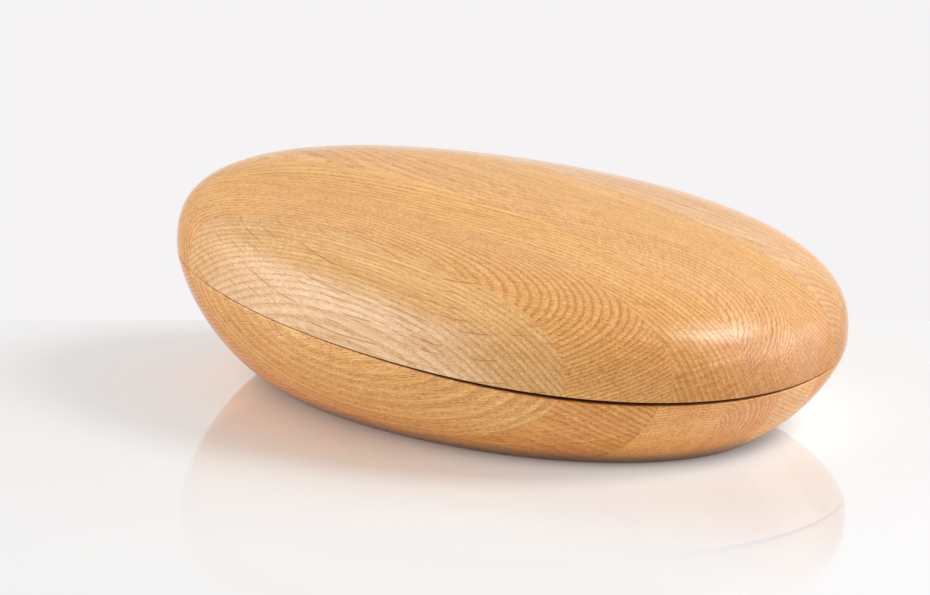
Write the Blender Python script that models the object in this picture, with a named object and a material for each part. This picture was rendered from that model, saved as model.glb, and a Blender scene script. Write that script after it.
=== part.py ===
"""Lidded pebble bowl carved from edge-glued oak boards.

Metres, +Z up, table at z = 0. The boards run along X, and their glue lines
are planes square to Y. The widest level of the pebble and the seam under it
lean together, low at +X, while the foot stays flat on the table.
"""
import math

import bmesh
import bpy
from mathutils import Matrix, Vector

# Plan of the pebble at its widest level
half_length = 0.200
half_width = 0.1363
plan_power = 2.086
plan_egg_share = 0.154
plan_turn = math.radians(9.55)

# Side view of the pebble
widest_height = 0.0628
lean = math.radians(5.12)
dome_height = 0.0574
dome_power = 2.87
seam_drop = 0.0038

# Flat foot that stands on the table
foot_half_length = 0.1565
foot_half_width = 0.0870
foot_power = 2
foot_egg_share = 0.136
foot_turn = math.radians(3.4)
foot_shift = Vector((0.0027, -0.0024))

# Arc of the bowl's wall, from the widest level down to the foot
wall_arc = math.radians(73.9)
wall_power = 1.526

# Thicknesses of the carved shells
wall = 0.018
lid_thickness = 0.016
lid_hollow_power = 4.2
floor_thickness = 0.014
floor_inset = 0.010

# Rebate: the lid's lip drops inside the bowl's land
land_width = 0.008
lip_depth = 0.006
lip_side_clearance = 0.0005
lip_end_clearance = 0.0010
seat_clearance = 0.0003

# Shadow gap along the seam, widest at the low front end
seam_gap_wide = 0.0023
seam_gap_narrow = 0.0004
seam_gap_heading = math.radians(-30)
seam_gap_power = 4
edge_break = 0.0006

# Boards: how many, and the shares of the breadth that the front and back ones take
lid_boards = 7
lid_front_board_share = 0.1169
lid_back_board_share = 0.1809
bowl_boards = 8
bowl_front_board_share = 0.1126
bowl_back_board_share = 0.1235

# Facets
points_around = 96
dome_rows = 12
wall_rows = 9
hollow_rows = 9
row_crowding = 1.4

# Oiled oak, from the front board to the back one
lid_colours = (
    (0.80, 0.58, 0.35),
    (0.70, 0.41, 0.19),
    (0.66, 0.40, 0.17),
    (0.71, 0.42, 0.20),
    (0.75, 0.46, 0.21),
    (0.78, 0.50, 0.25),
    (0.74, 0.44, 0.21),
)
bowl_colours = (
    (0.64, 0.36, 0.15),
    (0.66, 0.38, 0.16),
    (0.62, 0.34, 0.15),
    (0.58, 0.34, 0.20),
    (0.70, 0.44, 0.26),
    (0.66, 0.38, 0.17),
    (0.63, 0.36, 0.15),
    (0.68, 0.40, 0.19),
)
oak_roughness = 0.42

# The leaning frame has its origin at the middle of the widest level
lean_frame = Matrix.Translation((0, 0, widest_height)) @ Matrix.Rotation(lean, 4, "Y")
upright_frame = lean_frame.inverted()


def clear_scene():
    for thing in list(bpy.data.objects):
        bpy.data.objects.remove(thing, do_unlink=True)


def egg(length, width, power, egg_share, turn):
    """Closed egg-shaped superellipse, anticlockwise, as plan points."""
    points = []
    for i in range(points_around):
        angle = math.tau * i / points_around
        cosine = math.cos(angle)
        sine = math.sin(angle)
        along = math.copysign(abs(cosine) ** (2 / power), cosine)
        across = math.copysign(abs(sine) ** (2 / power), sine) * (1 + egg_share * along)
        points.append(Matrix.Rotation(turn, 2) @ Vector((along * length, across * width)))
    return points


def inset(points, distance):
    """The same closed outline, moved inward by a distance."""
    moved = []
    for i, point in enumerate(points):
        ahead = points[(i + 1) % len(points)]
        tangent = (ahead - points[i - 1]).normalized()
        moved.append(point + Vector((-tangent.y, tangent.x)) * distance)
    return moved


def level_ring(points, height):
    return [Vector((point.x, point.y, height)) for point in points]


def plan_of(ring):
    return [point.xy for point in ring]


def moved_ring(ring, frame):
    return [frame @ point for point in ring]


def quarter(turned, power):
    """Shares of the width and of the height along a superellipse quarter."""
    across = max(math.cos(turned), 0) ** (2 / power)
    up = max(math.sin(turned), 0) ** (2 / power)
    return across, up


def dome_rings(outline, base, height, power):
    """Rings of a dome from its rim up, without its top point."""
    rings = []
    for row in range(dome_rows):
        turned = math.pi / 2 * (row / dome_rows) ** row_crowding
        across, up = quarter(turned, power)
        rings.append([Vector((p.x * across, p.y * across, base + height * up)) for p in outline])
    return rings


def wall_point(top, bottom, turned):
    """Point on a wall that leaves its top upright and curves in to its bottom."""
    across, down = quarter(turned, wall_power)
    last_across, last_down = quarter(wall_arc, wall_power)
    plan = bottom.xy.lerp(top.xy, (across - last_across) / (1 - last_across))
    height = top.z + (bottom.z - top.z) * down / last_down
    return Vector((plan.x, plan.y, height))


def turned_at(top, bottom, depth):
    """How far round its arc a wall has dropped by a depth."""
    last_down = quarter(wall_arc, wall_power)[1]
    down = last_down * depth / (top.z - bottom.z)
    return math.asin(down ** (wall_power / 2))


def outside_ring(depths):
    """Ring on the outer wall, at a depth under the widest level for each point."""
    ring = []
    for top, bottom, depth in zip(widest_ring, foot_ring, depths):
        ring.append(wall_point(top, bottom, turned_at(top, bottom, depth)))
    return ring


def seam_gap(point):
    facing = math.cos(math.atan2(point.y, point.x) - seam_gap_heading)
    return seam_gap_narrow + (seam_gap_wide - seam_gap_narrow) * max(facing, 0) ** seam_gap_power


widest_ring = level_ring(egg(half_length, half_width, plan_power, plan_egg_share, plan_turn), 0)
foot_plan = [point + foot_shift for point in egg(
    foot_half_length, foot_half_width, foot_power, foot_egg_share, foot_turn)]
foot_ring = moved_ring(level_ring(foot_plan, 0), upright_frame)
seam_ring = outside_ring([seam_drop] * points_around)
land_plan = inset(plan_of(seam_ring), land_width)
lip_plan = inset(plan_of(seam_ring), land_width + lip_side_clearance)
hollow_plan = inset(plan_of(seam_ring), wall)
lip_level = -seam_drop - lip_depth
ledge_level = lip_level - lip_end_clearance


def bowl_rings():
    """Rings of the bowl, from its foot up the outside and down the hollow to its floor."""
    depths = [seam_drop + seam_gap(point) + edge_break for point in seam_ring]
    outer = [foot_ring]
    for row in reversed(range(wall_rows)):
        ring = []
        for top, bottom, depth in zip(widest_ring, foot_ring, depths):
            start = turned_at(top, bottom, depth)
            ring.append(wall_point(top, bottom, start + (wall_arc - start) * row / wall_rows))
        outer.append(ring)
    rim = inset(plan_of(outer[-1]), edge_break)
    rim_ring = [Vector((p.x, p.y, edge_break - depth)) for p, depth in zip(rim, depths)]
    seat_ring = level_ring(land_plan, -seam_drop - seat_clearance)
    rebate_ring = level_ring(land_plan, ledge_level)
    ledge_ring = level_ring(hollow_plan, ledge_level)
    floor_ring = moved_ring(level_ring(inset(foot_plan, floor_inset), floor_thickness), upright_frame)
    hollow = []
    for row in range(hollow_rows):
        turned = wall_arc * row / hollow_rows
        hollow.append([wall_point(t, b, turned) for t, b in zip(ledge_ring, floor_ring)])
    return outer + [rim_ring, seat_ring, rebate_ring] + hollow + [floor_ring]


def lid_rings():
    """Rings of the lid, from the top of its dome down the outside and up the hollow."""
    outer = dome_rings(plan_of(widest_ring), 0, dome_height, dome_power)
    edge = outside_ring([seam_drop - edge_break] * points_around)
    land_edge = level_ring(inset(plan_of(edge), edge_break), -seam_drop)
    lip_root = level_ring(lip_plan, -seam_drop)
    lip_end = level_ring(lip_plan, lip_level)
    hollow_height = dome_height - lid_thickness - lip_level
    hollow = dome_rings(hollow_plan, lip_level, hollow_height, lid_hollow_power)
    return outer[::-1] + [edge, land_edge, lip_root, lip_end] + hollow


def skin(rings):
    """Mesh of quads between rings, open at its first and last ring."""
    bm = bmesh.new()
    loops = [[bm.verts.new(point) for point in ring] for ring in rings]
    for near, far in zip(loops, loops[1:]):
        for i in range(points_around):
            j = (i + 1) % points_around
            bm.faces.new((near[i], near[j], far[j], far[i]))
    return bm, loops[0], loops[-1]


def close_flat(bm, loop, height):
    for vert in loop:
        vert.co.z = height
    bm.faces.new(loop)


def close_with_tip(bm, loop, height):
    tip = bm.verts.new((0, 0, height))
    for i in range(points_around):
        bm.faces.new((loop[i], loop[(i + 1) % points_around], tip))


def bowl_shell():
    bm, foot, floor = skin([moved_ring(ring, lean_frame) for ring in bowl_rings()])
    close_flat(bm, foot, 0)
    close_flat(bm, floor, floor_thickness)
    bmesh.ops.recalc_face_normals(bm, faces=bm.faces)
    return bm


def lid_shell():
    bm, top, ceiling = skin(lid_rings())
    close_with_tip(bm, top, dome_height)
    close_with_tip(bm, ceiling, dome_height - lid_thickness)
    bmesh.ops.recalc_face_normals(bm, faces=bm.faces)
    return bm


def trim(bm, limit, side):
    """Cut away what lies beyond a glue line and close the cut."""
    cut = bmesh.ops.bisect_plane(
        bm,
        geom=bm.verts[:] + bm.edges[:] + bm.faces[:],
        plane_co=(0, limit, 0),
        plane_no=(0, side, 0),
        clear_outer=True,
    )
    edges = [piece for piece in cut["geom_cut"] if isinstance(piece, bmesh.types.BMEdge)]
    for vert in {vert for edge in edges for vert in edge.verts}:
        vert.co.y = limit
    bmesh.ops.holes_fill(bm, edges=edges)


def glue_lines(shell, boards, front_share, back_share):
    """Glue lines across a shell, with boards of one width between its front and back ones."""
    low = min(vert.co.y for vert in shell.verts)
    high = max(vert.co.y for vert in shell.verts)
    board_share = (1 - front_share - back_share) / (boards - 2)
    return [low + (high - low) * (front_share + board_share * k) for k in range(boards - 1)]


def oak(name, colour):
    material = bpy.data.materials.new(name)
    material.use_nodes = True
    shader = material.node_tree.nodes["Principled BSDF"]
    shader.inputs["Base Color"].default_value = (*colour, 1)
    shader.inputs["Roughness"].default_value = oak_roughness
    shader.inputs["Metallic"].default_value = 0
    return material


def saw_into_boards(name, shell, lines, colours, parent):
    """One object for each board between neighbouring glue lines."""
    for k, (low, high) in enumerate(zip([None] + lines, lines + [None])):
        bm = shell.copy()
        if low is not None:
            trim(bm, low, -1)
        if high is not None:
            trim(bm, high, 1)
        board = f"{name}_{k + 1}"
        mesh = bpy.data.meshes.new(board)
        bm.to_mesh(mesh)
        bm.free()
        mesh.shade_smooth()
        mesh.set_sharp_from_angle(angle=math.radians(30))
        mesh.materials.append(oak(board, colours[k % len(colours)]))
        thing = bpy.data.objects.new(board, mesh)
        thing.parent = parent
        bpy.context.scene.collection.objects.link(thing)


def frame_empty(name, matrix):
    empty = bpy.data.objects.new(name, None)
    empty.matrix_world = matrix
    bpy.context.scene.collection.objects.link(empty)
    return empty


clear_scene()
bowl = bowl_shell()
lid = lid_shell()
corners = [vert.co for vert in bowl.verts] + [lean_frame @ vert.co for vert in lid.verts]
middle_x = (min(c.x for c in corners) + max(c.x for c in corners)) / 2
middle_y = (min(c.y for c in corners) + max(c.y for c in corners)) / 2
centred = Matrix.Translation((-middle_x, -middle_y, 0))
bowl_frame = frame_empty("bowl_frame", centred)
lid_frame = frame_empty("lid_frame", centred @ lean_frame)
bowl_lines = glue_lines(bowl, bowl_boards, bowl_front_board_share, bowl_back_board_share)
lid_lines = glue_lines(lid, lid_boards, lid_front_board_share, lid_back_board_share)
saw_into_boards("bowl_board", bowl, bowl_lines, bowl_colours, bowl_frame)
saw_into_boards("lid_board", lid, lid_lines, lid_colours, lid_frame)
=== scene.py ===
import math
from collections import namedtuple

import bmesh
import bpy
from mathutils import Matrix, Vector


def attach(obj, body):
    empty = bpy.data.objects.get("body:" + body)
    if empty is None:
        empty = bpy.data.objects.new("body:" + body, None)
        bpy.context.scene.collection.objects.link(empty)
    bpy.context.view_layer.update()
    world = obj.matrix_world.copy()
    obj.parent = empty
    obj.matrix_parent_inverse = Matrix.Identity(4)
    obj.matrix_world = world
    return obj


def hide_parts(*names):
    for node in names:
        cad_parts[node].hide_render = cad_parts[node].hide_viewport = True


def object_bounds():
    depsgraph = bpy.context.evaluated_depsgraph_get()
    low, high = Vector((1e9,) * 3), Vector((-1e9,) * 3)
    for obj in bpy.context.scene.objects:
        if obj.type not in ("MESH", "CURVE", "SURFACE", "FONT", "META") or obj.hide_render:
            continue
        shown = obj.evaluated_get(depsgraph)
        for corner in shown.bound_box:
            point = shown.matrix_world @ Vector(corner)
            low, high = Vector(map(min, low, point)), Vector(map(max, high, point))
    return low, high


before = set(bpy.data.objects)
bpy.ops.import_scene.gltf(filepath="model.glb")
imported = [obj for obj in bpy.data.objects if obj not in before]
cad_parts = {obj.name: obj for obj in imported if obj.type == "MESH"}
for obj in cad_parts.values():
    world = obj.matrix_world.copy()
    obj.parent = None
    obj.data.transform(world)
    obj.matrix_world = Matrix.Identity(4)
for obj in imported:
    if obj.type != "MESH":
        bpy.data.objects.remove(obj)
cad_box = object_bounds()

# Pebble: its plan at the widest level and its side view, in metres
half_length = 0.200
half_width = 0.1363
plan_power = 2.086
plan_egg_share = 0.154
plan_turn = math.radians(9.55)
widest_height = 0.0628
lean = math.radians(5.12)
dome_height = 0.0574
dome_power = 2.87
seam_drop = 0.0038

# Foot on the table, and the wall's arc down to it
foot_half_length = 0.1565
foot_half_width = 0.0870
foot_power = 2
foot_egg_share = 0.136
foot_turn = math.radians(3.4)
foot_shift = Vector((0.0027, -0.0024))
wall_arc = math.radians(73.9)
wall_power = 1.526

# Carved insides, with the rebate that the lid's lip drops into
wall = 0.018
lid_thickness = 0.016
lid_hollow_power = 4.2
floor_thickness = 0.014
floor_inset = 0.010
land_width = 0.008
lip_depth = 0.006
lip_side_clearance = 0.0005
lip_end_clearance = 0.0010
seat_clearance = 0.0003

# Shadow gap along the seam, and the eased edges on both sides of it
seam_gap_wide = 0.0023
seam_gap_narrow = 0.0004
seam_gap_heading = math.radians(-30)
seam_gap_power = 4
rim_depth = 0.007
edge_radius = 0.0006
edge_steps = 3

# Boards across the pebble, front to back
lid_boards = 7
lid_front_board_share = 0.1169
lid_back_board_share = 0.1809
bowl_boards = 8
bowl_front_board_share = 0.1126
bowl_back_board_share = 0.1235

# Fineness of the turned surfaces
points_around = 288
dome_rows = 40
wall_rows = 28
hollow_rows = 14
row_crowding = 1.4
sharp_angle = math.radians(38)

lean_frame = Matrix.Translation((0, 0, widest_height)) @ Matrix.Rotation(lean, 4, "Y")
upright_frame = lean_frame.inverted()


def egg(length, width, power, egg_share, turn):
    """Closed egg-shaped superellipse, anticlockwise, as plan points."""
    points = []
    for i in range(points_around):
        angle = math.tau * i / points_around
        cosine = math.cos(angle)
        sine = math.sin(angle)
        along = math.copysign(abs(cosine) ** (2 / power), cosine)
        across = math.copysign(abs(sine) ** (2 / power), sine) * (1 + egg_share * along)
        points.append(Matrix.Rotation(turn, 2) @ Vector((along * length, across * width)))
    return points


def inset(points, distance):
    """The same closed outline, moved inward by a distance."""
    moved = []
    for i, point in enumerate(points):
        ahead = points[(i + 1) % len(points)]
        tangent = (ahead - points[i - 1]).normalized()
        moved.append(point + Vector((-tangent.y, tangent.x)) * distance)
    return moved


def level_ring(points, height):
    return [Vector((point.x, point.y, height)) for point in points]


def plan_of(ring):
    return [point.xy for point in ring]


def moved_ring(ring, place):
    return [place @ point for point in ring]


def quarter(turned, power):
    """Shares of the width and of the height along a superellipse quarter."""
    across = max(math.cos(turned), 0) ** (2 / power)
    up = max(math.sin(turned), 0) ** (2 / power)
    return across, up


def dome_rings(outline, base, height, power, rows):
    """Rings of a dome from its rim up, without its top point."""
    rings = []
    for row in range(rows):
        turned = math.pi / 2 * (row / rows) ** row_crowding
        across, up = quarter(turned, power)
        rings.append([Vector((p.x * across, p.y * across, base + height * up)) for p in outline])
    return rings


def wall_point(top, bottom, turned):
    """Point on a wall that leaves its top upright and curves in to its bottom."""
    across, down = quarter(turned, wall_power)
    last_across, last_down = quarter(wall_arc, wall_power)
    plan = bottom.xy.lerp(top.xy, (across - last_across) / (1 - last_across))
    height = top.z + (bottom.z - top.z) * down / last_down
    return Vector((plan.x, plan.y, height))


def turned_at(top, bottom, depth):
    """How far round its arc a wall has dropped by a depth."""
    last_down = quarter(wall_arc, wall_power)[1]
    down = last_down * depth / (top.z - bottom.z)
    return math.asin(down ** (wall_power / 2))


def outside_ring(depths):
    """Ring on the outer wall, at a depth under the widest level for each point."""
    ring = []
    for top, bottom, depth in zip(widest_ring, foot_ring, depths):
        ring.append(wall_point(top, bottom, turned_at(top, bottom, depth)))
    return ring


def seam_gap(point):
    """Height of the shadow gap at a point of the seam, widest at the low front end."""
    facing = math.cos(math.atan2(point.y, point.x) - seam_gap_heading)
    return seam_gap_narrow + (seam_gap_wide - seam_gap_narrow) * max(facing, 0) ** seam_gap_power


def eased_rings(ring, rise):
    """Rings that round an edge over inward from a wall, rising or falling by the edge's radius."""
    rings = []
    for step in range(1, edge_steps + 1):
        turned = math.pi / 2 * step / edge_steps
        inward = inset(plan_of(ring), edge_radius * (1 - math.cos(turned)))
        lift = rise * edge_radius * math.sin(turned)
        rings.append([Vector((p.x, p.y, q.z + lift)) for p, q in zip(inward, ring)])
    return rings


widest_ring = level_ring(egg(half_length, half_width, plan_power, plan_egg_share, plan_turn), 0)
foot_plan = [point + foot_shift for point in egg(
    foot_half_length, foot_half_width, foot_power, foot_egg_share, foot_turn)]
foot_ring = moved_ring(level_ring(foot_plan, 0), upright_frame)
seam_ring = outside_ring([seam_drop] * points_around)
rim_plan = inset(plan_of(seam_ring), rim_depth)
land_plan = inset(plan_of(seam_ring), land_width)
lip_plan = inset(plan_of(seam_ring), land_width + lip_side_clearance)
hollow_plan = inset(plan_of(seam_ring), wall)
lip_level = -seam_drop - lip_depth
ledge_level = lip_level - lip_end_clearance


def bowl_rings():
    """Rings of the bowl, from its foot up the outside and down the hollow to its floor."""
    depths = [seam_drop + seam_gap(point) + edge_radius for point in seam_ring]
    outer = [foot_ring]
    for row in reversed(range(wall_rows)):
        ring = []
        for top, bottom, depth in zip(widest_ring, foot_ring, depths):
            start = turned_at(top, bottom, depth)
            ring.append(wall_point(top, bottom, start + (wall_arc - start) * row / wall_rows))
        outer.append(ring)
    eased = eased_rings(outer[-1], 1)
    rim_foot = [Vector((p.x, p.y, q.z)) for p, q in zip(rim_plan, eased[-1])]
    seat_ring = level_ring(land_plan, -seam_drop - seat_clearance)
    rebate_ring = level_ring(land_plan, ledge_level)
    ledge_ring = level_ring(hollow_plan, ledge_level)
    floor_plan = inset(foot_plan, floor_inset)
    floor_ring = moved_ring(level_ring(floor_plan, floor_thickness), upright_frame)
    hollow = []
    for row in range(hollow_rows):
        turned = wall_arc * row / hollow_rows
        hollow.append([wall_point(t, b, turned) for t, b in zip(ledge_ring, floor_ring)])
    return outer + eased + [rim_foot, seat_ring, rebate_ring] + hollow + [floor_ring]


def lid_rings():
    """Rings of the lid, from the top of its dome down the outside and up the hollow."""
    outer = dome_rings(plan_of(widest_ring), 0, dome_height, dome_power, dome_rows)
    edge = outside_ring([seam_drop - edge_radius] * points_around)
    lip_root = level_ring(lip_plan, -seam_drop)
    lip_end = level_ring(lip_plan, lip_level)
    hollow_height = dome_height - lid_thickness - lip_level
    hollow = dome_rings(hollow_plan, lip_level, hollow_height, lid_hollow_power, hollow_rows)
    return outer[::-1] + [edge] + eased_rings(edge, -1) + [lip_root, lip_end] + hollow


def skin(rings):
    """Mesh of quads between rings, open at its first and last ring."""
    bm = bmesh.new()
    loops = [[bm.verts.new(point) for point in ring] for ring in rings]
    for near, far in zip(loops, loops[1:]):
        for i in range(points_around):
            j = (i + 1) % points_around
            bm.faces.new((near[i], near[j], far[j], far[i]))
    return bm, loops[0], loops[-1]


def close_flat(bm, loop, height):
    for vert in loop:
        vert.co.z = height
    bm.faces.new(loop)


def close_with_tip(bm, loop, height):
    tip = bm.verts.new((0, 0, height))
    for i in range(points_around):
        bm.faces.new((loop[i], loop[(i + 1) % points_around], tip))


def bowl_shell():
    bm, foot, floor = skin([moved_ring(ring, lean_frame) for ring in bowl_rings()])
    close_flat(bm, foot, 0)
    close_flat(bm, floor, floor_thickness)
    bmesh.ops.recalc_face_normals(bm, faces=bm.faces)
    return bm


def lid_shell():
    bm, top, ceiling = skin(lid_rings())
    close_with_tip(bm, top, dome_height)
    close_with_tip(bm, ceiling, dome_height - lid_thickness)
    bmesh.ops.recalc_face_normals(bm, faces=bm.faces)
    bmesh.ops.transform(bm, matrix=lean_frame, verts=bm.verts)
    return bm


def fit_into(shells, low, high):
    """Shift the shells, and stretch them by a hair, so that together they fill the CAD's box."""
    corners = [vert.co for bm in shells for vert in bm.verts]
    for axis in range(3):
        least = min(corner[axis] for corner in corners)
        most = max(corner[axis] for corner in corners)
        share = (high[axis] - low[axis]) / (most - least)
        for corner in corners:
            corner[axis] = low[axis] + (corner[axis] - least) * share


def glue_lines(shell, boards, front_share, back_share):
    """Glue lines across a shell, with boards of one width between its front and back ones."""
    low = min(vert.co.y for vert in shell.verts)
    high = max(vert.co.y for vert in shell.verts)
    board_share = (1 - front_share - back_share) / (boards - 2)
    return [low + (high - low) * (front_share + board_share * k) for k in range(boards - 1)]


def trim(bm, limit, side):
    """Cut away what lies beyond a glue line and close the cut with a flat face."""
    cut = bmesh.ops.bisect_plane(
        bm,
        geom=bm.verts[:] + bm.edges[:] + bm.faces[:],
        plane_co=(0, limit, 0),
        plane_no=(0, side, 0),
        clear_outer=True,
    )
    edges = [piece for piece in cut["geom_cut"] if isinstance(piece, bmesh.types.BMEdge)]
    bmesh.ops.holes_fill(bm, edges=edges)
    for edge in edges:
        edge.smooth = False


def saw_board(name, shell, low, high):
    """One board of a shell, between two glue lines or beyond the last one."""
    bm = shell.copy()
    for edge in bm.edges:
        edge.smooth = edge.calc_face_angle(0) < sharp_angle
    if low is not None:
        trim(bm, low, -1)
    if high is not None:
        trim(bm, high, 1)
    mesh = bpy.data.meshes.new(name)
    bm.to_mesh(mesh)
    bm.free()
    for face in mesh.polygons:
        face.use_smooth = True
    board = bpy.data.objects.new(name, mesh)
    bpy.context.scene.collection.objects.link(board)
    return board


class Reading:
    """A shader socket in a sum: each sign between readings adds its Math node."""

    def __init__(self, finish, socket):
        self.finish = finish
        self.socket = socket

    def sum(self, operation, *terms):
        return self.finish.node("ShaderNodeMath", {"operation": operation}, dict(enumerate(terms)))

    def __add__(self, other):
        return self.sum("ADD", self, other)

    def __sub__(self, other):
        return self.sum("SUBTRACT", self, other)

    def __rsub__(self, other):
        return self.sum("SUBTRACT", other, self)

    def __mul__(self, other):
        return self.sum("MULTIPLY", self, other)

    def __truediv__(self, other):
        return self.sum("DIVIDE", self, other)

    __radd__ = __add__
    __rmul__ = __mul__

    def also(self, output):
        """Another output of the node that this reading comes from."""
        return Reading(self.finish, self.socket.node.outputs[output])

    def whole(self):
        return self.sum("FLOOR", self)

    def size(self):
        return self.sum("ABSOLUTE", self)

    def root(self):
        return self.sum("SQRT", self)

    def power(self, exponent):
        return self.sum("POWER", self, exponent)

    def bearing(self, other):
        """Angle of the point that has this reading upward and the other one sideways."""
        return self.sum("ARCTAN2", self, other)

    def rise(self, low, high):
        """Eased step from 0 at low to 1 at high."""
        settings = {"interpolation_type": "SMOOTHSTEP"}
        inputs = {"Value": self, "From Min": low, "From Max": high}
        return self.finish.node("ShaderNodeMapRange", settings, inputs)


class Finish:
    """The shader of a material or of the room, and the nodes that lead to it."""

    def __init__(self, owner, shader="Principled BSDF"):
        owner.use_nodes = True
        self.owner = owner
        self.tree = owner.node_tree
        self.shader = self.tree.nodes[shader]

    def node(self, kind, settings, inputs, output=0):
        """Add a node: its settings first, then a value or a reading for each input."""
        node = self.tree.nodes.new(kind)
        for name, value in settings.items():
            setattr(node, name, value)
        for key, value in inputs.items():
            if isinstance(value, Reading):
                self.tree.links.new(value.socket, node.inputs[key])
            else:
                node.inputs[key].default_value = value
        return Reading(self, node.outputs[output])

    def noise(self, vector, detail=0.0):
        """Smooth noise around 0, mostly within half a unit of it."""
        inputs = {"Vector": vector, "Scale": 1.0, "Detail": detail}
        return self.node("ShaderNodeTexNoise", {}, inputs) - 0.5

    def join(self, x, y, z):
        return self.node("ShaderNodeCombineXYZ", {}, {0: x, 1: y, 2: z})

    def split(self, vector):
        first = self.node("ShaderNodeSeparateXYZ", {}, {0: vector})
        return [first.also(axis) for axis in range(3)]

    def along_axis(self, vector, axis):
        settings = {"operation": "DOT_PRODUCT"}
        return self.node("ShaderNodeVectorMath", settings, {0: vector, 1: tuple(axis)}, 1)

    def chance(self, count):
        """A number from 0 to 1 drawn for each whole count."""
        return self.node("ShaderNodeTexWhiteNoise", {"noise_dimensions": "1D"}, {"W": count})

    def openness(self, reach):
        """1 in the open, falling to 0 where other surfaces close a spot in within a reach."""
        return self.node("ShaderNodeAmbientOcclusion", {"samples": 8}, {"Distance": reach}, "AO")

    def blend(self, share, under, over):
        """Two colours mixed by a share of the second one."""
        settings = {"data_type": "RGBA"}
        return self.node("ShaderNodeMix", settings, {0: share, 6: under, 7: over}, 2)

    def toast(self, colour, tone):
        """A wood colour made lighter or darker: the darker, the redder."""
        green, blue = toast_powers
        return self.tinted(colour, self.join(tone, tone.power(green), tone.power(blue)))

    def tinted(self, colour, shade):
        return self.node("ShaderNodeVectorMath", {"operation": "MULTIPLY"}, {0: colour, 1: shade})

    def feed(self, **inputs):
        """Give the shader its sockets, with spaces for the names' underscores."""
        for name, value in inputs.items():
            socket = self.shader.inputs[name.replace("_", " ")]
            if isinstance(value, Reading):
                self.tree.links.new(value.socket, socket)
            else:
                socket.default_value = value


mm = 0.001

# A board's trunk: where its pith runs in the leaning frame (y and z at the pebble's middle, their
# slopes along the board, and how it bows to each side, per metre), how wide its rings are in
# millimetres and which share of each is spring wood, its colour, how strongly its spring wood,
# pores, rays and checks show, the number that makes its noise its own, and how many millimetres
# from the pith its sapwood starts, where it has any
Timber = namedtuple(
    "Timber",
    "pith slope bow ring early colour spring pores rays checks seed sapwood",
    defaults=(None,),
)
lid_timber = (
    Timber((-0.022, 0.053), (0.019, -0.039), (0, 0), 2.4, 0.3, (0.715, 0.400, 0.140),
        0.75, 0.7, 0.3, 0.8, 1, sapwood=100),
    Timber((-0.182, 0.095), (0.171, 0.383), (0.64, -0.14), 2.1, 0.28, (0.723, 0.372, 0.102),
        0.9, 1.0, 0.8, 0.4, 2),
    Timber((-0.008, 0.023), (0.178, 0.044), (0, 0), 2.9, 0.4, (0.718, 0.371, 0.098),
        0.7, 1.0, 0.8, 0.1, 3),
    Timber((-0.180, 0.600), (-0.266, -0.116), (-1.70, -1.92), 2.0, 0.28, (0.690, 0.357, 0.110),
        1.0, 0.9, 0.7, 0.5, 4),
    Timber((0.139, 0.111), (-0.036, 0.013), (0.1, 0), 2.6, 0.5, (0.710, 0.387, 0.127),
        0.7, 0.7, 0.5, 0.1, 5),
    Timber((0.031, -0.007), (0.091, -0.051), (0, 0), 2.8, 0.35, (0.665, 0.385, 0.179),
        0.6, 0.7, 0.5, 0.1, 6),
    Timber((0.230, 0.060), (0.010, -0.020), (0, 0), 2.4, 0.35, (0.690, 0.384, 0.147),
        0.6, 0.7, 0.5, 0.1, 7),
)
bowl_timber = (
    Timber((-0.443, 0.018), (0.005, 0.339), (-0.12, 0), 3.9, 0.5, (0.793, 0.421, 0.128),
        0.5, 1.0, 0.6, 0.8, 8),
    Timber((-0.046, 0.064), (0.204, 0.060), (0.37, -0.1), 1.9, 0.35, (0.745, 0.338, 0.071),
        0.7, 1.0, 0.6, 0.2, 9),
    Timber((-0.039, -0.182), (0.018, 0.049), (0, 0), 1.7, 0.35, (0.903, 0.475, 0.146),
        0.6, 0.7, 0.6, 0.5, 10),
    Timber((-0.045, -0.026), (0.036, 0.007), (0, 0), 2.8, 0.4, (0.870, 0.459, 0.170),
        1.6, 1.1, 0.4, 0.1, 11),
    Timber((0.090, 0.150), (0.020, 0.010), (0, 0), 2.2, 0.35, (0.902, 0.556, 0.282),
        0.4, 0.5, 0.4, 0.1, 12),
    Timber((-0.030, 0.090), (0.020, -0.030), (0, 0), 2.4, 0.35, (0.823, 0.438, 0.133),
        0.6, 0.7, 0.5, 0.2, 13),
    Timber((0.170, -0.120), (0.030, 0.020), (0, 0), 2.1, 0.35, (0.801, 0.415, 0.113),
        0.6, 0.7, 0.5, 0.2, 14),
    Timber((0.260, 0.020), (-0.020, 0.030), (0, 0), 2.6, 0.35, (0.823, 0.438, 0.133),
        0.6, 0.7, 0.5, 0.2, 15),
)

# Shades that the wood's own colour is multiplied by
sapwood_shade = (1.07, 1.22, 1.85)
spring_shade = (0.84, 0.70, 0.44)
pore_shade = (0.36, 0.17, 0.04)
ember_shade = (1.02, 0.93, 0.66)
# Painted shade: the darker, redder colour of wood close to other wood or the table
painted_close_shade = (0.93, 0.83, 0.64)
soaked_shade = (0.77, 0.60, 0.38)

# Powers of the wood's tone for green and blue, which make it redder where it is darker
toast_powers = (1.7, 3.2)

# Figure of the wood: its length along the grain and its thickness across it, in millimetres
sway_size = (125, 50)
waver_size = (100 / 3, 10 / 3)
pore_size = (4, 0.28)
fibre_size = (22, 0.6)
streak_size = (190, 4)
ember_size = (60, 4)

# Rays and checks: their size along the grain, round the pith and outward from it
ray_size = (10, 0.7, 26)
check_wander_size = (60, 30, 30)
check_opening_size = (30, 12)
check_apart = 2.2
check_wander = 3

# Least distance from the pith, in metres, at which rays and checks are spaced out
least_pith_distance = 0.03

# Growth rings: how far they sway and waver, in millimetres, and how their widths drift, in rings
sway = 1.5
waver = 0.3
drift = 1.5
drift_pace = 0.08
sapwood_fade = 20

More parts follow.
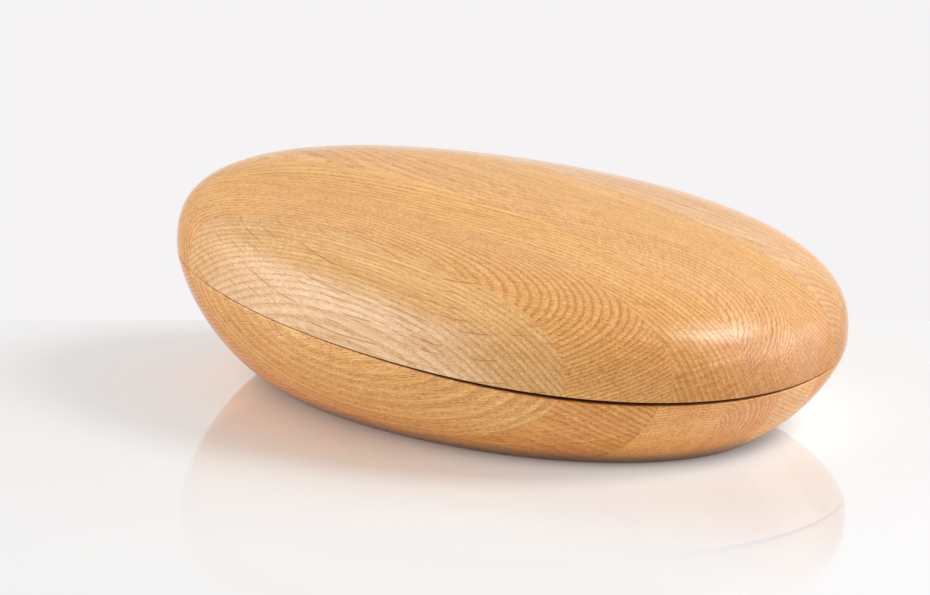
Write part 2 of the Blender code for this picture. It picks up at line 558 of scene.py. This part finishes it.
# Spring wood: how it starts and ends in the year, and what is left of it on a board's face and
# where the board is cut flat along its rings
spring_start = (0, 0.08)
spring_end = (-0.15, 0.2)
end_cut_rise = (0.1, 0.5)
spring_on_face = 0.6
flat_cut_rise = (0.85, 0.98)
spring_on_flat_cut = 0.15

# Pores: the edge of a tube, how far they crowd past spring wood, and the least of each
tube_edge = (0.34, 0.44)
crowded_past_spring = 0.3
least_crowded = 0.2
least_pore = 0.6

# Checks: the room at the sides of a slot that holds one, a crack's edge in millimetres, the noise
# at which it opens, its least depth, and what keeps its slant above nothing
slot_margin = 0.2
crack_edge = (0.06, 0.28)
crack_opening = (-0.02, 0.12)
least_check = 0.35
least_slant = 0.02

# Steps between the noise of one board, year or check and that of the next
board_stride = 1000
board_drift_stride = 5.3
board_year_stride = 77
board_check_stride = 31
check_stride = 7.7

# How strongly each shows: on a board's face with what its end grain adds to it, or all over
fibre_depth = (0.35, 0.5)
ray_depth = (0.45, 0.5)
pore_depth = (0.8, 2)
coarse_fibre_depth = 0.5
streak_depth = 0.3
year_depth = 0.08
ember_depth = 0.5
ember_rise = (0.0, 0.25)
check_depth = 0.8
least_spring = 0.8
spring_by_luck = 0.4
fibre_relief = 0.25
check_relief = 0.4
oiled_roughness = 0.42
pore_roughness = 0.2
fibre_roughness = 0.1

# Painted shade where wood nearly touches wood or the table: its darkest colour, its reach, and the
# openness, from closed in to open, over which the painted shade fades out and the gloss comes back
painted_gap_shadow = (0.03, 0.012, 0.004, 1)
painted_shade_reach = 0.035
painted_close_shade_openness = (0.2, 0.75)
painted_gap_shadow_openness = (0.03, 0.3)
dull_openness = (0.3, 0.95)

# Oil gloss by how far the surface turns away: full, what the turn takes, and what the rim adds
face_gloss = 0.85
turn_gloss = 0.8
turn_rise = (0.5, 0.7)
rim_gloss = 0.95
rim_rise = (0.8, 0.92)
pore_dullness = 0.8


def shaded(colour, shade):
    return (*(c * s for c, s in zip(colour, shade)), 1)


def trunk_frame(timber, centred):
    """Matrix from the scene, in metres, to a trunk that lies along X with its pith on that axis."""
    along = Vector((1, *timber.slope)).normalized()
    side = Vector((0, 1, 0))
    side = (side - along * side.dot(along)).normalized()
    turn = Matrix((along, side, along.cross(side))).to_4x4()
    start = Matrix.Translation((0, -timber.pith[0], -timber.pith[1]))
    return turn @ start @ (centred @ lean_frame).inverted()


def trunk_reach(timber):
    """Distance from a trunk's pith to the pebble's middle, or a little more where it is close."""
    return max(math.hypot(*timber.pith), least_pith_distance)


class Trunk:
    """A board's spot in its trunk, in millimetres: along the pith, and sideways and up from it."""

    def __init__(self, finish, timber, centred):
        inside = trunk_frame(timber, centred)
        placed = finish.node("ShaderNodeMapping", {}, {
            "Vector": finish.node("ShaderNodeTexCoord", {}, {}, "Object"),
            "Location": inside.translation / mm,
            "Rotation": inside.to_euler(),
            "Scale": (1 / mm, 1 / mm, 1 / mm),
        })
        along, side, up = finish.split(placed)
        bow_side, bow_up = (bow * mm for bow in timber.bow)
        self.finish = finish
        self.timber = timber
        self.along = along + timber.seed * board_stride
        self.side = side - along * along * bow_side
        self.up = up - along * along * bow_up
        self.reach = (self.side * self.side + self.up * self.up).root()
        self.read_cut(inside.to_3x3().normalized())

    def read_cut(self, axes):
        """How squarely the surface cuts across the grain, into the rings and into the rays."""
        facing = self.finish.node("ShaderNodeTexCoord", {}, {}, "Normal")
        end, side, up = (self.finish.along_axis(facing, axis) for axis in axes)
        self.end_cut = end.size()
        self.ring_cut = ((side * self.side + up * self.up) / self.reach).size()
        self.ray_cut = ((up * self.side - side * self.up) / self.reach).size()

    def spot(self, size):
        length, thickness = size
        return self.finish.join(self.along / length, self.side / thickness, self.up / thickness)

    def figure(self, size, detail=0.0):
        """Noise drawn out along the grain."""
        return self.finish.noise(self.spot(size), detail)


def growth(trunk):
    """Distance that the tree has grown, how far on its year is, and a number drawn for the year."""
    timber = trunk.timber
    finish = trunk.finish
    grown = trunk.reach + trunk.figure(sway_size) * sway + trunk.figure(waver_size) * waver
    drift_spot = finish.join(grown * drift_pace, timber.seed * board_drift_stride, 0)
    years = grown / timber.ring + finish.noise(drift_spot) * drift
    year = years.whole()
    luck = finish.chance(year + timber.seed * board_year_stride)
    return grown, years - year, luck


def spring_wood(trunk, season):
    """The start of each year's ring, fainter where the board is cut flat along its rings."""
    ending = season.rise(*(trunk.timber.early + step for step in spring_end))
    steep = spring_on_face + trunk.end_cut.rise(*end_cut_rise) * (1 - spring_on_face)
    flat = 1 - trunk.ring_cut.rise(*flat_cut_rise) * (1 - spring_on_flat_cut)
    return season.rise(*spring_start) * (1 - ending) * flat * steep


def pores(trunk, season):
    """Short tubes along the grain, crowded in spring wood."""
    finish = trunk.finish
    early = trunk.timber.early
    inputs = {"Vector": trunk.spot(pore_size), "Scale": 1.0}
    tubes = finish.node("ShaderNodeTexVoronoi", {}, inputs, "Distance")
    draw = finish.split(tubes.also("Color"))[0]
    sparse = season.rise(early, early + crowded_past_spring)
    crowded = 1 - sparse * (1 - least_crowded)
    return (1 - tubes.rise(*tube_edge)) * crowded * (least_pore + draw * (1 - least_pore))


def round_pith(trunk):
    """Distance round the pith, as far out as the board's middle lies."""
    return trunk.up.bearing(trunk.side) * (trunk_reach(trunk.timber) / mm)


def rays(trunk):
    """Thin pale and dark flecks that stand outward from the pith."""
    length, thickness, depth = ray_size
    spot = trunk.finish.join(
        trunk.along / length, round_pith(trunk) / thickness, trunk.reach / depth)
    return trunk.finish.noise(spot, detail=1) * (1 - trunk.ray_cut * trunk.ray_cut)


def checks(trunk):
    """Fine cracks that stand outward from the pith, each open over a stretch of its length."""
    finish = trunk.finish
    arc = round_pith(trunk)
    length, thickness, depth = check_wander_size
    wander = finish.noise(finish.join(trunk.along / length, arc / thickness, trunk.reach / depth))
    slot = (arc + wander * check_wander) / check_apart
    number = slot.whole()
    draw = finish.chance(number + trunk.timber.seed * board_check_stride)
    slant = (1 + least_slant - trunk.ray_cut * trunk.ray_cut).root()
    middle = slot_margin + draw * (1 - 2 * slot_margin)
    off_line = (slot - number - middle).size() * check_apart / slant
    length, depth = check_opening_size
    spot = finish.join(trunk.along / length, number * check_stride, trunk.reach / depth)
    opening = finish.noise(spot)
    depth = least_check + draw * (1 - least_check)
    return (1 - off_line.rise(*crack_edge)) * opening.rise(*crack_opening) * depth


def deeper(depth, soaked):
    """A strength on a board's face, and greater on its end grain."""
    on_face, added = depth
    return on_face + soaked * added


def oak(name, timber, centred):
    """Oiled oak: growth rings round the board's own pith, with pores, rays and fine checks."""
    finish = Finish(bpy.data.materials.new(name))
    trunk = Trunk(finish, timber, centred)
    grown, season, luck = growth(trunk)
    spring = spring_wood(trunk, season) * timber.spring * (least_spring + luck * spring_by_luck)
    pore = pores(trunk, season)
    check = checks(trunk)
    fibre = trunk.figure(fibre_size, detail=2)
    soaked = trunk.end_cut * trunk.end_cut

    # From the plain colour up: embers, sapwood, spring wood, end grain, tone, pores and checks
    grit = deeper(fibre_depth, soaked) + timber.pores * coarse_fibre_depth
    flecks = rays(trunk) * timber.rays * deeper(ray_depth, soaked)
    streaks = trunk.figure(streak_size, detail=3) * streak_depth + (luck - 0.5) * year_depth
    tone = 1 + streaks + fibre * grit + flecks
    ember = trunk.figure(ember_size, detail=2).rise(*ember_rise)
    wood = (*timber.colour, 1)
    wood = finish.blend(ember * ember_depth, wood, shaded(timber.colour, ember_shade))
    if timber.sapwood:
        sapwood = grown.rise(timber.sapwood, timber.sapwood + sapwood_fade)
        wood = finish.blend(sapwood, wood, shaded(timber.colour, sapwood_shade))
    wood = finish.blend(spring, wood, shaded(timber.colour, spring_shade))
    wood = finish.blend(soaked, wood, shaded(timber.colour, soaked_shade))
    wood = finish.toast(wood, tone)
    dark = shaded(timber.colour, pore_shade)
    wood = finish.blend(pore * timber.pores * deeper(pore_depth, soaked), wood, dark)
    wood = finish.blend(check * timber.checks * check_depth, wood, dark)

    # Painted shade: where wood nearly touches wood or the table, its colour is darkened and
    # reddened as shade would
    openness = finish.openness(painted_shade_reach)
    painted_close_wood = finish.tinted(wood, painted_close_shade)
    wood = finish.blend(openness.rise(*painted_close_shade_openness), painted_close_wood, wood)
    wood = finish.blend(openness.rise(*painted_gap_shadow_openness), painted_gap_shadow, wood)

    # Oil gloss: clear face on, dull on the turn and clear again at the rim
    glancing = finish.node("ShaderNodeLayerWeight", {}, {"Blend": 0.5}, "Facing")
    turned = glancing.rise(*turn_rise) * turn_gloss
    polish = face_gloss - turned + glancing.rise(*rim_rise) * rim_gloss
    oiled = openness.rise(*dull_openness) * (1 - pore * pore_dullness) * (1 - check)
    relief = finish.node("ShaderNodeBump", {}, {
        "Height": fibre * fibre_relief - pore * timber.pores - check * timber.checks * check_relief,
        "Strength": 0.3,
        "Distance": 0.0002,
    })
    finish.feed(
        Base_Color=wood,
        Roughness=oiled_roughness + pore * pore_roughness + fibre * fibre_roughness,
        Normal=relief,
        IOR=1.35,
        Coat_Weight=polish * oiled,
        Coat_Roughness=0.32,
        Sheen_Weight=0.12,
        Sheen_Roughness=0.25,
    )
    return finish.owner


def make_boards(name, shell, lines, timbers, body, centred):
    """Saw a shell into its boards, each in the place of the CAD's board of its number."""
    for k, timber in enumerate(timbers):
        low = lines[k - 1] if k else None
        high = lines[k] if k < len(lines) else None
        node = f"{name}_{k + 1}"
        board = saw_board(f"oiled_{node}", shell, low, high)
        board.data.materials.append(oak(f"oiled oak of {node}", timber, centred))
        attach(board, body)
        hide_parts(node)


low_corner, high_corner = cad_box
bowl = bowl_shell()
lid = lid_shell()
corners = [vert.co for shell in (bowl, lid) for vert in shell.verts]
middle_x = (min(c.x for c in corners) + max(c.x for c in corners)) / 2
middle_y = (min(c.y for c in corners) + max(c.y for c in corners)) / 2
centred = Matrix.Translation((-middle_x, -middle_y, 0))
fit_into((bowl, lid), low_corner, high_corner)
bowl_lines = glue_lines(bowl, bowl_boards, bowl_front_board_share, bowl_back_board_share)
lid_lines = glue_lines(lid, lid_boards, lid_front_board_share, lid_back_board_share)
make_boards("bowl_board", bowl, bowl_lines, bowl_timber, "bowl", centred)
make_boards("lid_board", lid, lid_lines, lid_timber, "lid", centred)


# Studio: a glossy white table that ends behind the bowl, and a pale sweep beyond it
view_heading = math.radians(131.596)
view_elevation = math.radians(14.3)
view_distance = 4.1107
view_target = centred @ Vector((-0.1698, 0.1615, 0))
lens_pixels = 7000
photo_width = 930
sensor_width = 36
table_edge_distance = 3.93
table_reach = 3.0
gloss_heading = math.radians(-79)
gloss_edge = (0.1, 0.26)
# Painted light and shade on the table: where its warm and white glow meet, how far its painted
# contact shadow reaches, and the glow's colours
painted_light_heading = math.radians(41.596)
painted_light_edge = (-0.1, 0.08)
painted_light_reach = 0.2
painted_contact_shadow_openness = (0.0, 0.3)
painted_far_light_openness = (0.2, 1.0)
painted_warm_light = (0.25, 0.185, 0.15, 1)
painted_white_light = (0.41, 0.46, 0.49, 1)
painted_contact_shadow = (0.16, 0.08, 0.045, 1)
painted_far_light = (0.12, 0.12, 0.12, 1)
lacquer_white = (0.66, 0.66, 0.655, 1)
sweep_drop = 0.0004
sweep_white = (0.915, 0.896, 0.905, 1)
room_white = (1.0, 0.985, 0.99, 1)
room_seen = 0.9
room_cast = 0.62

# Softboxes: heading and elevation in degrees, distance, width and height in metres, and watts
softboxes = {
    "key": (34, 50, 1.9, 0.8, 0.6, 18),
    "right wall": (36, 15, 2.2, 2.6, 1.0, 24),
    "left wall": (-130, 18, 2.2, 2.6, 1.3, 29),
}


def heading_vector(heading):
    return Vector((math.cos(heading), math.sin(heading), 0))


def place_camera():
    camera = bpy.data.cameras.new("photograph")
    camera.sensor_width = sensor_width
    camera.lens = lens_pixels / photo_width * sensor_width
    holder = bpy.data.objects.new("photograph", camera)
    back = -heading_vector(view_heading) * math.cos(view_elevation)
    back.z = math.sin(view_elevation)
    holder.location = view_target + back * view_distance
    holder.rotation_euler = back.to_track_quat("Z", "Y").to_euler()
    bpy.context.scene.collection.objects.link(holder)
    bpy.context.scene.camera = holder
    return holder


def flat_sheet(name, middle, ahead, height):
    """Level square around a point, with one pair of sides along a heading."""
    across = Vector((-ahead.y, ahead.x, 0))
    mesh = bpy.data.meshes.new(name)
    corners = []
    for depth, breadth in ((-1, -1), (-1, 1), (1, 1), (1, -1)):
        corner = middle + (ahead * depth + across * breadth) * table_reach
        corners.append((corner.x, corner.y, height))
    mesh.from_pydata(corners, [], [(0, 3, 2, 1)])
    sheet = bpy.data.objects.new(name, mesh)
    bpy.context.scene.collection.objects.link(sheet)
    return sheet


def white_table():
    """White lacquer with painted light and shade: a glow of its own, warm on one side and white on
    the other, dim close to the wood and faint further off, and a mirror's gloss that fades to the
    front.
    """
    finish = Finish(bpy.data.materials.new("white lacquered table"))
    spot = finish.node("ShaderNodeTexCoord", {}, {}, "Object")
    frontward = finish.along_axis(spot, heading_vector(gloss_heading))
    rightward = finish.along_axis(spot, heading_vector(painted_light_heading))
    openness = finish.openness(painted_light_reach)
    # Painted light: a glow of the table's own, with painted shadow close to the wood
    painted_light = finish.blend(rightward.rise(*painted_light_edge), painted_warm_light, painted_white_light)
    painted_light = finish.blend(openness.rise(*painted_contact_shadow_openness), painted_contact_shadow, painted_light)
    painted_light = finish.blend(openness.rise(*painted_far_light_openness), painted_light, painted_far_light)
    finish.feed(
        Base_Color=lacquer_white,
        Roughness=0.07,
        IOR=1.1,
        Coat_Weight=1 - frontward.rise(*gloss_edge),
        Coat_Roughness=0.03,
        Emission_Color=painted_light,
        Emission_Strength=1.0,
    )
    return finish.owner


def pale_sweep():
    finish = Finish(bpy.data.materials.new("pale paper sweep"))
    finish.feed(
        Base_Color=(0, 0, 0, 1),
        Roughness=1.0,
        Specular_IOR_Level=0.0,
        Emission_Color=sweep_white,
        Emission_Strength=1.0,
    )
    return finish.owner


def lay_floor(camera):
    ahead = heading_vector(view_heading)
    start = Vector((camera.location.x, camera.location.y, 0))
    edge = start + ahead * table_edge_distance
    table = flat_sheet("table", edge - ahead * table_reach, ahead, 0)
    table.data.materials.append(white_table())
    sweep = flat_sheet("sweep", edge + ahead * table_reach, ahead, -sweep_drop)
    sweep.data.materials.append(pale_sweep())


def softbox(name, heading, elevation, distance, width, height, power):
    lamp = bpy.data.lights.new(name, "AREA")
    lamp.shape = "RECTANGLE"
    lamp.size = width
    lamp.size_y = height
    lamp.energy = power
    holder = bpy.data.objects.new(name, lamp)
    away = heading_vector(math.radians(heading)) * math.cos(math.radians(elevation))
    away.z = math.sin(math.radians(elevation))
    holder.location = away * distance
    holder.rotation_euler = away.to_track_quat("Z", "Y").to_euler()
    bpy.context.scene.collection.objects.link(holder)


def pale_room():
    """Even light from the room, brighter where it is seen or mirrored than where it falls."""
    world = bpy.data.worlds.new("pale room")
    room = Finish(world, "Background")
    falling = room.node("ShaderNodeLightPath", {}, {}, "Is Diffuse Ray")
    inputs = {"Value": falling, "To Min": room_seen, "To Max": room_cast}
    room.feed(Color=room_white, Strength=room.node("ShaderNodeMapRange", {}, inputs))
    bpy.context.scene.world = world


bpy.context.scene.view_settings.view_transform = "Standard"
camera = place_camera()
lay_floor(camera)
pale_room()
for name, sizes in softboxes.items():
    softbox(name, *sizes)
